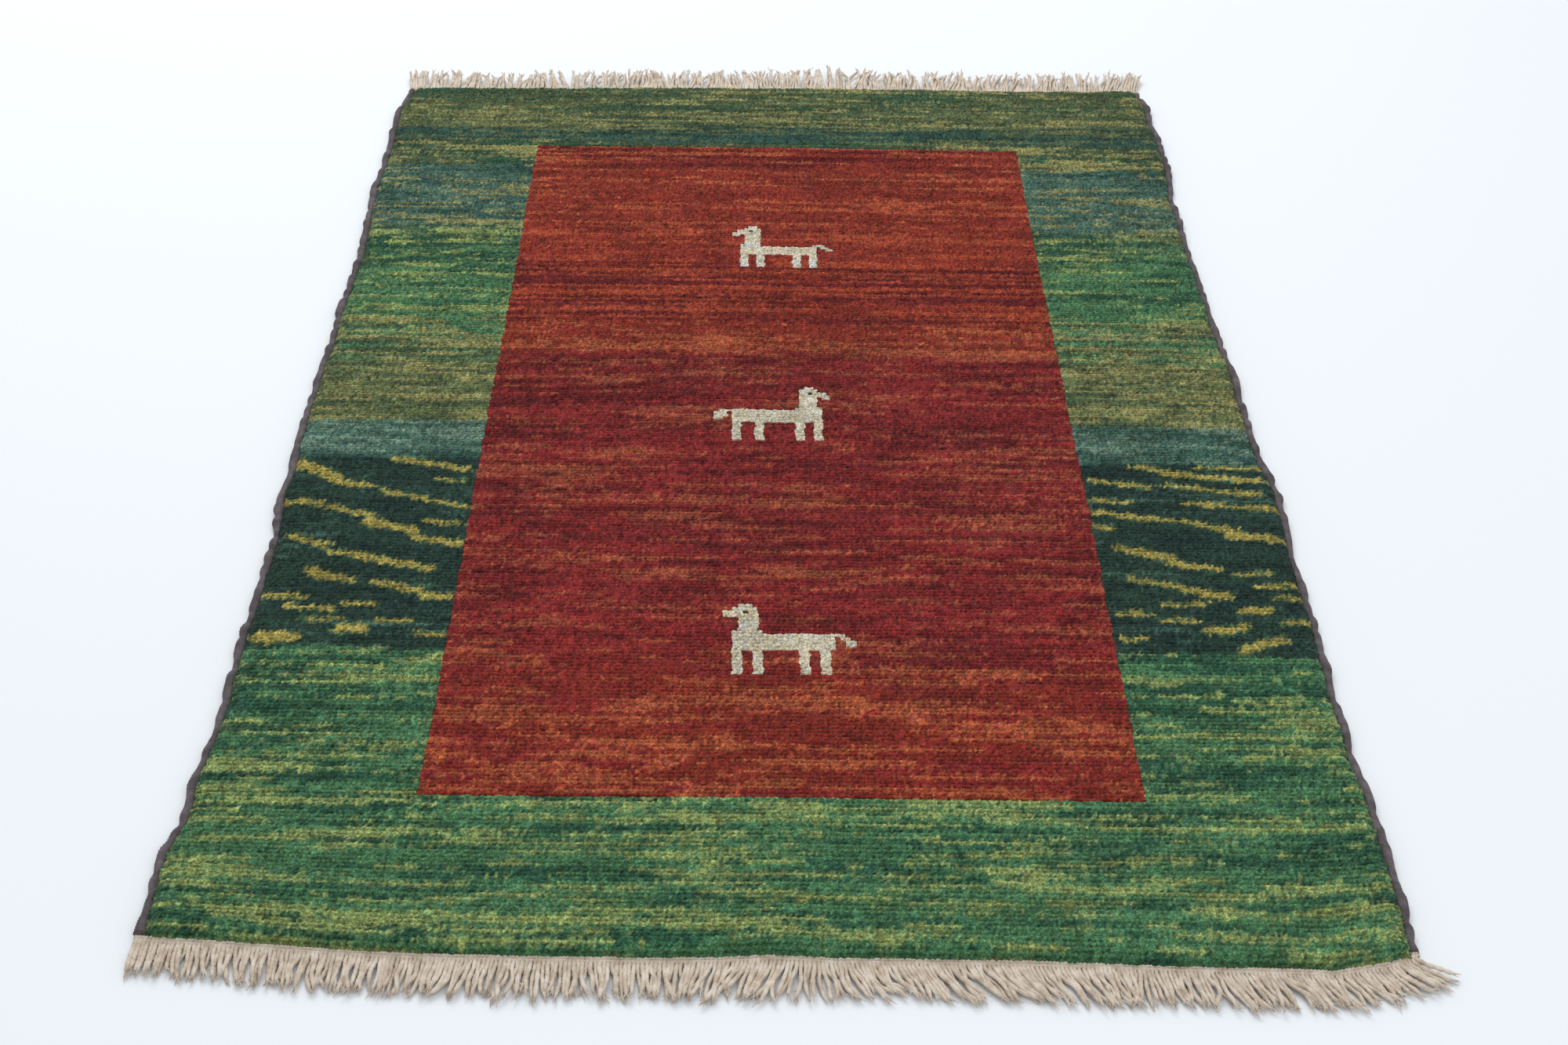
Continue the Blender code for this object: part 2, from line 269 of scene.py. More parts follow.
def softNoise(shape, cell, seed):
    # smooth random field from -1 to 1, cell grid points (down, across) to a swing
    own = np.random.default_rng(seed)
    rows, columns = (int(n / c) + 3 for n, c in zip(shape, cell))
    coarse = own.uniform(-1, 1, (rows, columns))
    y = np.linspace(0, rows - 1.001, shape[0])
    x = np.linspace(0, columns - 1.001, shape[1])
    yi, xi = y.astype(int), x.astype(int)
    fy, fx = (y - yi)[:, None], (x - xi)[None, :]
    fy, fx = fy * fy * (3 - 2 * fy), fx * fx * (3 - 2 * fx)
    top = coarse[yi][:, xi] * (1 - fx) + coarse[yi][:, xi + 1] * fx
    low = coarse[yi + 1][:, xi] * (1 - fx) + coarse[yi + 1][:, xi + 1] * fx
    return top * (1 - fy) + low * fy


def rowNoise(shape, cell, seed):
    # as softNoise, but with nothing shared from row to row
    own = np.random.default_rng(seed)
    knots = int(shape[1] / cell) + 3
    coarse = own.uniform(-1, 1, (shape[0], knots))
    start = own.uniform(0, 1, shape[0])[:, None]
    x = start + np.linspace(0, knots - 2.001, shape[1])[None, :]
    xi = x.astype(int)
    fx = x - xi
    fx = fx * fx * (3 - 2 * fx)
    row = np.arange(shape[0])[:, None]
    return coarse[row, xi] * (1 - fx) + coarse[row, xi + 1] * fx


def pileSurface(p):
    sideNames = ("left", "right", "front", "back")
    leftMean, rightMean, frontMean, backMean = (edges[name][1].mean() for name in sideNames)
    columns, xPlace, xRoll = arcLine(rightMean - leftMean, p["knotWide"], p)
    rows, yPlace, yRoll = arcLine(backMean - frontMean, p["knotLong"], p)
    x0 = leftMean + xPlace
    y0 = frontMean + yPlace
    fromLeft = np.exp(-xPlace / p["waveReach"])
    fromRight = np.exp(-(rightMean - leftMean - xPlace) / p["waveReach"])
    fromFront = np.exp(-yPlace / p["waveReach"])
    fromBack = np.exp(-(backMean - frontMean - yPlace) / p["waveReach"])
    x, y = np.meshgrid(x0, y0)
    for _ in range(3):
        waveLeft = edgeAt("left", y) - leftMean
        waveRight = edgeAt("right", y) - rightMean
        waveFront = edgeAt("front", x) - frontMean
        waveBack = edgeAt("back", x) - backMean
        x = x0[None, :] + waveLeft * fromLeft[None, :] + waveRight * fromRight[None, :]
        y = y0[:, None] + waveFront * fromFront[:, None] + waveBack * fromBack[:, None]
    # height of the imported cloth, read on a coarse grid, then rolled down at the rim
    roomX, roomY = p["topRoom"]
    coarseX = np.linspace(clothLow.x + roomX, clothHigh.x - roomX, 26)
    coarseY = np.linspace(clothLow.y + roomY, clothHigh.y - roomY, 40)
    tops = np.array([[hit(clothTree, (cx, cy, 1.0), (0, 0, -1)).z for cx in coarseX] for cy in coarseY])
    alongX = np.array([np.interp(x0, coarseX, row) for row in tops])
    top = np.array([np.interp(y0, coarseY, column) for column in alongX.T]).T
    roll = xRoll[None, :] * yRoll[:, None]
    z = p["rimFoot"] + (top - p["nubHeight"] * p["meanLevel"] - p["rimFoot"]) * roll
    # nubs: high in a knot's middle, lower between columns, lowest between rows
    shape = x.shape
    oddX = (np.arange(shape[1]) % 2 == 1)[None, :]
    oddY = (np.arange(shape[0]) % 2 == 1)[:, None]
    gap, gapSwing, gapMiddle = p["rowGap"]
    rowGap = gap + gapSwing * softNoise(shape, (4, 24), 5)       # rows close up here and there
    level = np.where(oddX, rowGap + gapMiddle, rowGap)
    level = np.where(~oddX & oddY, p["columnLevel"], level)
    level = np.where(oddX & oddY, p["middleLevel"], level)
    single, clump, patch = p["levelSwings"]
    level = level + rng.uniform(-single, single, shape) + clump * softNoise(shape, (5, 5), 3)
    level = level + patch * softNoise(shape, (17, 17), 4)
    points = np.stack([x, y, z], axis=-1)
    alongRow = np.gradient(points, axis=1)
    alongColumn = np.gradient(points, axis=0)
    normal = np.cross(alongRow, alongColumn)
    normal /= np.linalg.norm(normal, axis=-1, keepdims=True)
    points = points + normal * (p["nubHeight"] * level)[..., None]
    # rows don't line up with one another
    rowShift = rng.uniform(-1, 1, rows) * p["rowShift"]
    lineShift = np.zeros(shape[0])
    lineShift[1::2] = rowShift
    lineShift[2:-1:2] = (rowShift[1:] + rowShift[:-1]) / 2
    points[..., 0] += lineShift[:, None] * np.minimum(1.0, xRoll)[None, :]
    inner = np.minimum(1.0, roll)[..., None]
    shift = np.stack([
        rng.uniform(-1, 1, shape) * p["nubShift"] * (0.5 + 0.5 * level),
        rng.uniform(-1, 1, shape) * p["nubShift"] * (0.5 + 0.5 * level) - p["nubLean"] * level,
        np.zeros(shape),
    ], axis=-1)
    points = points + shift * inner
    return points, level, roll, columns, rows, x0, y0


# Animals, charted in knots: (first column, last column, first row, last row), rows upwards
animalCharts = {
    "farAnimal": {
        "middle": (-0.0040, 0.3215), "facing": -1,
        "blocks": ((0, 19, 6, 10), (0, 2, 0, 6), (4, 6, 0, 6), (13, 15, 0, 6), (17, 19, 0, 6), (0, 5, 10, 11),
                   (1, 5, 11, 14), (1, 5, 14, 19), (2, 4, 19, 20), (-1, 1, 16, 18), (-2, 0, 15, 17),
                   (18, 21, 10, 11), (20, 22, 9, 10), (21, 23, 8, 9)),
        "eye": (2, 17),
    },
    "middleAnimal": {
        "middle": (-0.0140, -0.0330), "facing": 1,
        "blocks": ((0, 20, 7, 12), (0, 2, 0, 7), (4, 6, 0, 7), (13, 15, 0, 7), (18, 20, 0, 7), (0, 6, 12, 13),
                   (1, 5, 13, 16), (1, 5, 16, 20), (2, 4, 20, 21), (-1, 1, 17, 19), (-2, 0, 16, 18),
                   (20, 23, 11, 12), (21, 24, 9, 11), (22, 24, 8, 9)),
        "eye": (2, 18),
    },
    "nearAnimal": {
        "middle": (0.0010, -0.3960), "facing": -1,
        "blocks": ((0, 20, 7, 12), (0, 2, 0, 7), (4, 6, 0, 7), (13, 15, 0, 7), (17, 19, 0, 7), (0, 6, 12, 13),
                   (1, 5, 13, 17), (0, 5, 17, 20), (1, 4, 20, 21), (-2, 0, 17, 19),
                   (20, 22, 11, 12), (21, 23, 10, 11), (22, 24, 8, 10)),
        "eye": (2, 18),
    },
}


def knotZones(p, columns, rows, x0, y0):
    # each knot belongs to the field, a part of the border or an animal
    xKnot, yKnot = x0[1::2], y0[1::2]
    zone = np.empty((rows, columns), dtype=object)
    field = p["field"]
    zone[yKnot < field["front"], :] = "borderFront"
    zone[yKnot > field["back"], :] = "borderBack"
    inX = (xKnot > field["left"]) & (xKnot < field["right"])
    inY = (yKnot > field["front"]) & (yKnot < field["back"])
    side = (xKnot < 0.0)
    zone[np.ix_(inY, side)] = "borderLeft"
    zone[np.ix_(inY, ~side)] = "borderRight"
    zone[np.ix_(inY, inX)] = "fieldBack"
    zone[np.ix_(inY & (yKnot < 0.0), inX)] = "fieldFront"
    for name, chart in animalCharts.items():
        blocks = np.array(chart["blocks"])
        centre = (blocks[:, :2].min() + blocks[:, 1].max()) / 2
        middleColumn = int(np.searchsorted(xKnot, chart["middle"][0]))
        firstRow = int(np.searchsorted(yKnot, chart["middle"][1])) - blocks[:, 3].max() // 2
        for firstColumn, lastColumn, low, high in chart["blocks"]:
            for column in range(firstColumn, lastColumn):
                away = column + 0.5 - centre
                place = int(math.floor(middleColumn - chart["facing"] * away))
                zone[firstRow + low:firstRow + high, place] = name
        eyeAway = chart["eye"][0] + 0.5 - centre
        eyeColumn = int(math.floor(middleColumn - chart["facing"] * eyeAway))
        zone[firstRow + chart["eye"][1], eyeColumn] = name + "Eye"
    return zone


# Wool dyed in small lots: the tones seen on the lit pile
dyes = {
    "leaf": "4a7750", "pine": "2a543d", "lime": "94a25f",
    "teal": "48695a", "tealDark": "2f5146", "tealPale": "6f8a76",
    "olive": "606c45", "moss": "43553a", "mustard": "96925a",
    "night": "243d32", "nightBlue": "1c342f", "straw": "a2954b",
    "crimson": "842625", "wine": "651a1b", "madder": "812b1e", "brick": "8a3022",
    "rust": "a8482b", "rose": "a05236", "copper": "b05c38",
    "ivory": "e9dfc4", "cream": "dccfae", "mist": "c6ccc8", "coal": "353b3a",
}
# A row for each lot along the rug: y, ground, dark dye, light dye, share of light and of dark, row lines
borderLots = (
    (-0.790, "leaf", "pine", "lime", 0.30, 0.30, 0.2),
    (-0.640, "leaf", "pine", "lime", 0.32, 0.26, 0.2),
    (-0.520, "leaf", "pine", "lime", 0.30, 0.34, 0.2),
    (-0.413, "leaf", "pine", "lime", 0.25, 0.38, 0.2),
    (-0.411, "night", "nightBlue", "teal", 0.05, 0.40, 0.1),
    (-0.115, "night", "nightBlue", "teal", 0.05, 0.40, 0.1),
    (-0.113, "teal", "tealDark", "tealPale", 0.22, 0.30, 0.2),
    (-0.050, "teal", "tealDark", "tealPale", 0.28, 0.25, 0.2),
    (-0.044, "olive", "moss", "mustard", 0.38, 0.22, 0.3),
    (0.060, "olive", "moss", "mustard", 0.38, 0.22, 0.3),
    (0.085, "leaf", "moss", "mustard", 0.40, 0.30, 0.3),
    (0.150, "leaf", "moss", "mustard", 0.36, 0.30, 0.3),
    (0.172, "leaf", "pine", "lime", 0.28, 0.26, 0.3),
    (0.272, "leaf", "pine", "lime", 0.26, 0.30, 0.3),
    (0.290, "leaf", "pine", "lime", 0.26, 0.44, 0.3),
    (0.352, "olive", "pine", "lime", 0.26, 0.44, 0.3),
    (0.370, "teal", "tealDark", "mustard", 0.26, 0.30, 0.3),
    (0.512, "teal", "tealDark", "mustard", 0.28, 0.30, 0.3),
    (0.526, "moss", "pine", "mustard", 0.40, 0.30, 0.4),
    (0.580, "moss", "pine", "mustard", 0.34, 0.36, 0.4),
    (0.590, "tealDark", "night", "olive", 0.30, 0.30, 0.3),
    (0.618, "tealDark", "night", "olive", 0.34, 0.26, 0.3),
    (0.636, "olive", "moss", "mustard", 0.26, 0.44, 0.4),
    (0.760, "moss", "pine", "mustard", 0.30, 0.26, 0.4),
)
fieldLots = (
    (-0.610, "madder", "crimson", "copper", 0.34, 0.30, 0.3),
    (-0.470, "madder", "crimson", "copper", 0.34, 0.32, 0.3),
    (-0.390, "crimson", "wine", "rose", 0.24, 0.30, 0.2),
    (0.080, "crimson", "wine", "rose", 0.22, 0.32, 0.2),
    (0.096, "brick", "madder", "copper", 0.38, 0.24, 0.3),
    (0.148, "brick", "madder", "copper", 0.34, 0.26, 0.4),
    (0.158, "madder", "wine", "rust", 0.36, 0.34, 1.3),
    (0.270, "madder", "wine", "rust", 0.34, 0.34, 1.3),
    (0.290, "brick", "madder", "rust", 0.24, 0.30, 0.7),
    (0.510, "brick", "madder", "copper", 0.20, 0.34, 1.0),
    (0.524, "brick", "wine", "copper", 0.20, 0.36, 1.0),
    (0.580, "brick", "wine", "copper", 0.18, 0.42, 1.0),
)
ivoryLots = (
    (-0.610, "ivory", "cream", "mist", 0.14, 0.30, 0.1),
    (0.000, "ivory", "cream", "mist", 0.06, 0.24, 0.1),
    (0.580, "ivory", "cream", "mist", 0.36, 0.20, 0.1),
)
coalLots = (
    (-0.610, "coal", "coal", "coal", 0.0, 0.0, 0.0),
    (0.580, "coal", "coal", "coal", 0.0, 0.0, 0.0),
)
# Yellow strokes over the dark lot, one chart for each side:
# across and down at both ends as shares of the panel, then thickness in mm at both ends
strokeCharts = {
    "left": ((0.06, 0.04, 0.30, 0.14, 14, 8), (0.30, 0.15, 0.52, 0.18, 7, 4), (0.55, 0.01, 0.95, 0.07, 5, 6),
             (0.55, 0.20, 0.98, 0.29, 6, 4), (0.82, 0.13, 0.97, 0.14, 3, 3), (0.00, 0.26, 0.24, 0.27, 5, 6),
             (0.26, 0.29, 0.50, 0.34, 5, 6), (0.50, 0.37, 0.74, 0.42, 11, 8), (0.74, 0.45, 0.99, 0.49, 6, 8),
             (0.80, 0.37, 0.99, 0.38, 3, 3), (0.10, 0.45, 0.30, 0.50, 7, 6), (0.32, 0.53, 0.46, 0.54, 3, 4),
             (0.46, 0.55, 0.86, 0.62, 7, 7), (0.28, 0.64, 0.50, 0.68, 12, 4), (0.60, 0.69, 0.84, 0.73, 5, 6),
             (0.84, 0.75, 0.99, 0.76, 5, 6), (0.06, 0.75, 0.26, 0.76, 5, 4), (0.20, 0.81, 0.42, 0.82, 5, 4),
             (0.46, 0.80, 0.62, 0.80, 3, 3), (0.28, 0.87, 0.46, 0.87, 3, 3), (0.64, 0.88, 0.80, 0.88, 3, 3),
             (0.48, 0.92, 0.60, 0.92, 11, 10), (0.10, 0.96, 0.26, 0.96, 13, 12),
             (0.86, 0.94, 0.99, 0.94, 4, 3)),
    "right": ((0.28, 0.01, 0.44, 0.03, 4, 5), (0.44, 0.05, 0.94, 0.09, 7, 5), (0.60, 0.00, 0.94, 0.02, 6, 4),
              (0.05, 0.10, 0.34, 0.13, 4, 5), (0.42, 0.12, 0.88, 0.17, 5, 6), (0.02, 0.21, 0.22, 0.22, 4, 3),
              (0.50, 0.22, 0.97, 0.25, 4, 5), (0.02, 0.28, 0.42, 0.32, 6, 5), (0.46, 0.32, 0.72, 0.38, 4, 8),
              (0.70, 0.40, 0.98, 0.42, 10, 6), (0.00, 0.36, 0.10, 0.36, 4, 4),
              (0.12, 0.47, 0.38, 0.53, 6, 10),
              (0.36, 0.55, 0.60, 0.58, 9, 6), (0.66, 0.61, 0.86, 0.60, 4, 3), (0.14, 0.63, 0.38, 0.67, 4, 6),
              (0.38, 0.68, 0.60, 0.72, 7, 10), (0.76, 0.67, 0.98, 0.66, 4, 4), (0.28, 0.76, 0.48, 0.76, 3, 4),
              (0.66, 0.79, 0.80, 0.79, 8, 7), (0.84, 0.73, 0.99, 0.72, 3, 4), (0.04, 0.81, 0.20, 0.81, 4, 3),
              (0.24, 0.84, 0.42, 0.84, 3, 3), (0.48, 0.89, 0.64, 0.88, 10, 8), (0.84, 0.85, 0.99, 0.84, 4, 5),
              (0.62, 0.98, 0.82, 0.93, 8, 9), (0.04, 0.93, 0.16, 0.93, 3, 3)),
    "rows": (-0.4115, -0.1145),
}


def dye(name):
    return np.array(linearColour(dyes[name])[:3])


def rank(noise):
    # noise turned into even shares from 0 to 1
    flat = noise.reshape(-1)
    order = np.empty(len(flat))
    order[np.argsort(flat)] = np.arange(len(flat)) / len(flat)
    return order.reshape(noise.shape)


def smoothStep(low, high, value):
    t = np.clip((value - low) / (high - low), 0.0, 1.0)
    return t * t * (3 - 2 * t)


# Weight, size and seed of the noises that place the light and dark ends; one size is row by row
streakNoises = {
    "light": ((0.45, 5, 2), (1.00, 24, 3), (0.65, (1.6, 90), 4), (0.50, (6, 76), 9)),
    "dark": ((0.45, 7, 5), (1.00, 32, 6), (0.65, (2.2, 96), 7), (0.55, (9, 84), 10)),
    "loose": 0.34,
}


def streaks(kind, shape, seed):
    total = 0.0
    for weight, cell, own in streakNoises[kind]:
        noise = softNoise if isinstance(cell, tuple) else rowNoise
        total = total + weight * noise(shape, cell, seed + own)
    return total


def lotColours(lots, shape, yKnot, seed):
    # one colour for each yarn end, two ends to a knot: streaks that lie along the rows,
    # larger cloudy patches, and single ends
    own = np.random.default_rng(seed)
    loose = streakNoises["loose"] * own.uniform(-1, 1, shape)
    wander = softNoise(shape, (14, 18), seed) * 4 * mm + softNoise(shape, (3, 50), seed + 1) * 3 * mm
    y = yKnot[:, None] + wander
    place = [lot[0] for lot in lots]
    light = rank(streaks("light", shape, seed) + loose)
    dark = rank(streaks("dark", shape, seed) - loose)
    lines = rowNoise(shape, 150, seed + 8)
    lightShare = np.interp(y, place, [lot[4] for lot in lots])
    darkShare = np.interp(y, place, [lot[5] for lot in lots])
    lineShare = np.interp(y, place, [lot[6] for lot in lots])
    light = np.clip(light + 0.60 * lineShare * lines, 0, 1)
    dark = np.clip(dark - 0.50 * lineShare * lines, 0, 1)
    colours = []
    for part in (1, 2, 3):
        table = np.array([dye(lot[part]) for lot in lots])
        colours.append(np.stack([np.interp(y, place, table[:, i]) for i in range(3)], axis=-1))
    darkAmount = smoothStep(0.88 - darkShare, 1.12 - darkShare, dark)[..., None]
    lightAmount = smoothStep(0.88 - lightShare, 1.12 - lightShare, light)
    lightAmount = (lightAmount * (0.55 + 0.45 * own.uniform(0, 1, shape)))[..., None]
    colour = colours[0] * (1 - darkAmount) + colours[1] * darkAmount
    colour = colour * (1 - lightAmount) + colours[2] * lightAmount
    tone = 1.0 + 0.22 * own.uniform(-1, 1, shape) + 0.08 * own.uniform(-1, 1, (shape[0], 1))
    warmth = 1.0 + 0.10 * own.uniform(-1, 1, shape)[..., None] * np.array([1.0, 0.3, -0.8])
    return colour * tone[..., None] * warmth


def strokeAmount(shape, xKnot, yKnot):
    # how far each knot lies inside a stroke, in mm, raggedly
    own = np.random.default_rng(77)
    farOff = -99.0
    inside = np.full(shape, farOff)
    front, back = strokeCharts["rows"]
    field = pile["field"]
    rim = 3 * mm
    panels = {"left": (clothLow.x + rim, field["left"]), "right": (field["right"], clothHigh.x - rim)}
    x, y = np.meshgrid(xKnot, yKnot)
    x = x + own.uniform(-4, 4, shape) * mm
    y = y + (softNoise(shape, (3, 5), 70) * 1.5 + own.uniform(-1.2, 1.2, shape)) * mm
    for side, (left, right) in panels.items():
        for u0, v0, u1, v1, thick0, thick1 in strokeCharts[side]:
            start = np.array([left + (right - left) * u0, back + (front - back) * v0])
            end = np.array([left + (right - left) * u1, back + (front - back) * v1])
            way = end - start
            along = ((x - start[0]) * way[0] + (y - start[1]) * way[1]) / (way @ way)
            held = np.clip(along, 0.0, 1.0)
            off = np.hypot(x - start[0] - way[0] * held, y - start[1] - way[1] * held) / mm
            thick = thick0 + (thick1 - thick0) * held
            inside = np.maximum(inside, thick / 2 + 0.8 - off)
    within = (yKnot > front) & (yKnot < back)
    return np.where(within[:, None], inside, farOff)


# Hand-spun wool, knotted and clipped: matt with a slight sheen. Loose yarn ends scatter the light, so
# the shine is far below that of a smooth fibre
woolPile = {
    "roughness": 0.95,
    "shine": 0.12,
    "sheen": 0.05,
    "gain": 1.58,         # the nubs shade each other, so the wool itself is lighter than what is seen
    "lightest": 0.90,
    "ivoryFill": 0.35,    # light wool throws light down between its own nubs, so its painted shade there is lighter
    "rimPaintedShade": 0.72,     # painted shade: brightness where the pile rolls down to the cord and the band
    "fibre": 0.8,         # mm, drawn coarser than a real fibre so that it shows
    "curl": 2.1,          # mm, the curl of one strand of a yarn end
    "curlTone": 0.26,     # difference from strand to strand
    "curlDepth": 1.3,     # mm
    "rootShade": 0.40,    # painted shade: brightness deep between the nubs
    "fleck": 0.34,        # light and dark fibres in one yarn
}
# Undyed light wool of the animals: more even than the dyed yarns
ivoryPile = {**woolPile, "curlTone": 0.12, "fleck": 0.20}


def woolMaterial(name, w):
    material = newMaterial(name)
    tree = material.node_tree
    colour = addNode(tree, "ShaderNodeAttribute", {"attribute_name": "knotColourAndRimShade"})
    depth = addNode(tree, "ShaderNodeAttribute", {"attribute_name": "nubLevel"})
    spot = addNode(tree, "ShaderNodeTexCoord")
    fibres = addNode(tree, "ShaderNodeTexNoise", {"noise_dimensions": "3D"}, {
        "Vector": spot.outputs["Object"], "Scale": 1.0 / (w["fibre"] * mm), "Detail": 2.0, "Roughness": 0.7})
    curls = addNode(tree, "ShaderNodeTexVoronoi", {"feature": "F1"}, {
        "Vector": spot.outputs["Object"], "Scale": 1.0 / (w["curl"] * mm), "Randomness": 1.0})
    # painted shade: darker deep between the nubs, by each point's nub level
    rootPaintedShade = mapRange(tree, depth.outputs["Fac"], 0.0, 0.8, w["rootShade"], 1.0)
    fleck = mapRange(tree, fibres.outputs["Fac"], 0.3, 0.7, 1.0 - w["fleck"], 1.0 + w["fleck"])
    # painted shade: darker at the edges of each curl where the bump is low, lighter in its raised middle
    curlHollowPaintedShade = mapRange(tree, curls.outputs["Distance"], 0.1, 0.75, 1.2, 0.5)
    strand = addNode(tree, "ShaderNodeSeparateXYZ", links={0: curls.outputs["Color"]})
    strandTone = mapRange(tree, strand.outputs["X"], 0.0, 1.0, 1.0 - w["curlTone"], 1.0 + w["curlTone"])
    # painted shade of the roots and curl hollows, times the fibres' and strands' own random tone
    shade = rootPaintedShade
    for factor in (fleck, curlHollowPaintedShade, strandTone):
        shade = addNode(tree, "ShaderNodeMath", {"operation": "MULTIPLY"}, {
            0: shade.outputs[0], 1: factor.outputs[0]})
    toned = addNode(tree, "ShaderNodeHueSaturation", links={
        "Value": shade.outputs[0], "Color": colour.outputs["Color"]})
    relief = addNode(tree, "ShaderNodeMath", {"operation": "MULTIPLY_ADD"}, {
        0: curls.outputs["Distance"], 1: -1.0, 2: fibres.outputs["Fac"]})
    bump = addNode(tree, "ShaderNodeBump", links={
        "Height": relief.outputs[0], "Strength": 0.9, "Distance": w["curlDepth"] * mm})
    finishMaterial(tree, {
        "Base Color": toned.outputs[0], "Roughness": w["roughness"], "IOR": 1.54,
        "Specular IOR Level": w["shine"], "Sheen Weight": w["sheen"], "Normal": bump.outputs[0]})
    return material


def makePile(p):
    points, level, roll, columns, rows, x0, y0 = pileSurface(p)
    zone = knotZones(p, columns, rows, x0, y0)
    dyedWool = woolMaterial("handSpunDyedWool", woolPile)
    undyedWool = woolMaterial("handSpunIvoryWool", ivoryPile)
    shape = (rows, 2 * columns + 1)
    yKnot = y0[1::2]
    strokes = strokeAmount(shape, x0, yKnot)[..., None]
    border = lotColours(borderLots, shape, yKnot, 100)
    halo = 0.5 * smoothStep(-2.5, 0.0, strokes)      # greener knots around each stroke
    border = border * (1 - halo) + dye("leaf") * halo
    inStroke = smoothStep(-1.0, 1.0, strokes)
    straw = dye("straw") * (1.0 + 0.28 * rng.uniform(-1, 1, shape))[..., None]
    border = border * (1 - inStroke) + straw * inStroke
    kinds = {
        "border": border,
        "field": lotColours(fieldLots, shape, yKnot, 200),
        "animal": lotColours(ivoryLots, shape, yKnot, 300),
        "eye": lotColours(coalLots, shape, yKnot, 400),
    }
    width = shape[1]
    flatPoints = points.reshape(-1, 3)
    # a point between two rows takes its colour from either, so that the tufts look ragged
    gridRow, gridColumn = np.divmod(np.arange(len(flatPoints)), width)
    ownRow = np.clip((gridRow - (gridRow % 2 == 0) * rng.integers(0, 2, len(gridRow))) // 2, 0, rows - 1)
    pieces = []
    for name in sorted(set(zone.reshape(-1))):
        kind = [key for key in kinds if key in name.lower()][-1]
        knotRow, knotColumn = np.nonzero(zone == name)
        quads = []
        for dy in (0, 1):
            for dx in (0, 1):
                corner = (2 * knotRow + dy) * width + 2 * knotColumn + dx
                quads.append(np.stack([corner, corner + 1, corner + width + 1, corner + width], axis=-1))
        used, quads = np.unique(np.concatenate(quads), return_inverse=True)
        quads = quads.reshape(-1, 4)
        colours = kinds[kind][ownRow[used], gridColumn[used]] * woolPile["gain"]
        # painted shade: the colour is darkened where the pile rolls down at the rim, as if turned from the
        # light
        colours = colours * (woolPile["rimPaintedShade"] + (1 - woolPile["rimPaintedShade"]) * roll.reshape(-1)[used, None])
        piece = buildMesh("pile_" + name, flatPoints[used], quads.tolist(),
                          undyedWool if kind == "animal" else dyedWool)
        # each point's wool colour, with the painted rim shade multiplied in
        mark = piece.data.attributes.new("knotColourAndRimShade", "FLOAT_COLOR", "POINT")
        colours = colours / np.maximum(1.0, colours.max(axis=1, keepdims=True) / woolPile["lightest"])
        full = np.concatenate([colours, np.ones((len(used), 1))], axis=1)
        mark.data.foreach_set("color", full.astype(np.float32).ravel())
        depth = piece.data.attributes.new("nubLevel", "FLOAT", "POINT")
        # the painted shade between the nubs is lifted for the light wool of the animals
        fill = woolPile["ivoryFill"] if kind == "animal" else 0.0
        height = fill + (1 - fill) * np.clip(level.reshape(-1)[used], 0, 1)
        depth.data.foreach_set("value", height.astype(np.float32))
        own = flatPoints[used][:, :2]
        low, high = own.min(0), own.max(0)
        share = (own - low) / (high - low)
        flatMap = piece.data.uv_layers.new(name="OFBake")
        flatMap.data.foreach_set("uv", share[quads.ravel()].astype(np.float32).ravel())
        pieces.append(piece)
    return pieces


pilePieces = makePile(pile)
print("pile knotted:", len(pilePieces), "pieces")


# Many twisted yarns at once: paths (yarns, rings, 3), radii (yarns, rings)
def yarnMesh(paths, radii, sides, lobes, lobeDepth, turns):
    count, rings, _ = paths.shape
    ahead = np.gradient(paths, axis=1)
    ahead /= np.linalg.norm(ahead, axis=-1, keepdims=True)
    across = np.cross(ahead, np.array([0.0, 0.0, 1.0]))
    across /= np.linalg.norm(across, axis=-1, keepdims=True)
    upward = np.cross(across, ahead)
    angle = np.arange(sides) * 2 * math.pi / sides
    phase = angle[None, None, :] - turns[:, :, None] * 2 * math.pi
    lobe = 1.0 + lobeDepth * (2.0 * np.abs(np.cos(phase * lobes / 2)) - 1.0)
    reach = radii[:, :, None] * lobe
    points = (paths[:, :, None, :]
              + across[:, :, None, :] * (reach * np.cos(angle))[..., None]
              + upward[:, :, None, :] * (reach * np.sin(angle))[..., None])
    side = np.arange(sides)
    ring = np.arange(rings - 1)[:, None] * sides
    after = (side + 1) % sides
    quads = np.stack([ring + side, ring + sides + side, ring + sides + after, ring + after], axis=-1)
    quads = quads.reshape(-1, 4)
    starts = np.arange(count) * rings * sides
    allQuads = (quads[None] + starts[:, None, None]).reshape(-1, 4)
    rootCap = starts[:, None] + side[None, :]
    tipCap = starts[:, None] + (rings - 1) * sides + side[None, ::-1]
    faces = allQuads.tolist() + rootCap.tolist() + tipCap.tolist()
    return points.reshape(-1, 3), faces


